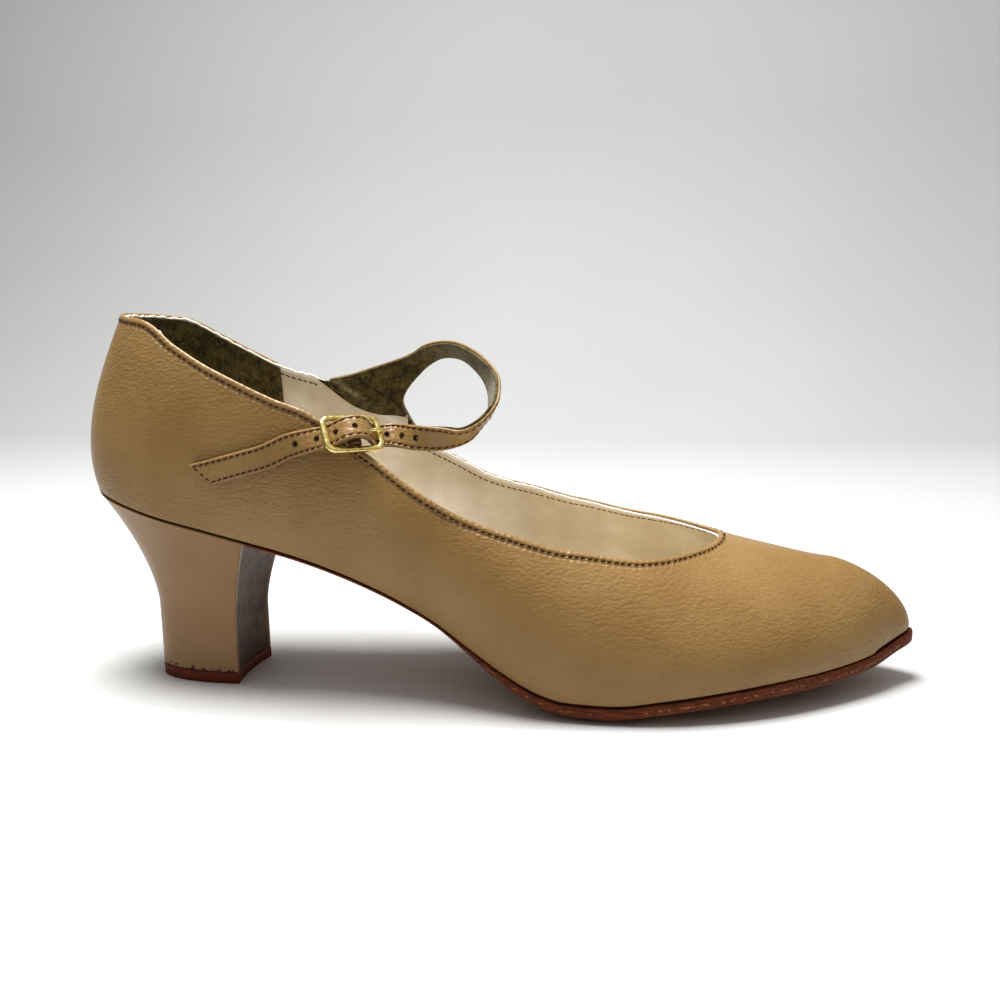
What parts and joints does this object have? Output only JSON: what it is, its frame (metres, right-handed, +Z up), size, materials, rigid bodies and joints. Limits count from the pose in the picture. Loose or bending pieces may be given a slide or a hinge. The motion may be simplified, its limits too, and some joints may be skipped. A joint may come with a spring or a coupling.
{
  "type": "character shoe",
  "caption": "Closed-toe character shoe for the right foot: last-shaped leather upper and sole, covered flared heel with top piece, and an instep strap held by a pin buckle.",
  "frame": {"origin": "middle of the box round the shoe, on the floor plane under heel and ball", "axes": "+X towards the toe, +Y towards the inner side of the foot, +Z up"},
  "size_m": [0.256, 0.0756, 0.1141],
  "materials": {
    "upper_leather": "smooth, fine grain",
    "strap_leather": "smooth, fine grain",
    "chape_leather": "plain",
    "sole_leather": "edge dressed red-brown",
    "sock_lining": "matt",
    "heel_lacquer": "painted to match the upper",
    "top_piece": "matt",
    "gilt_metal": "polished gilt"
  },
  "bodies": {
    "root": {"upper": "upper_leather", "outsole": "sole_leather", "insole": "sock_lining", "heel_block": "heel_lacquer", "heel_lift": "top_piece", "strap": "strap_leather", "buckle_frame": "gilt_metal", "buckle_prong": "gilt_metal", "chape": "chape_leather"}
  },
  "joints": []
}
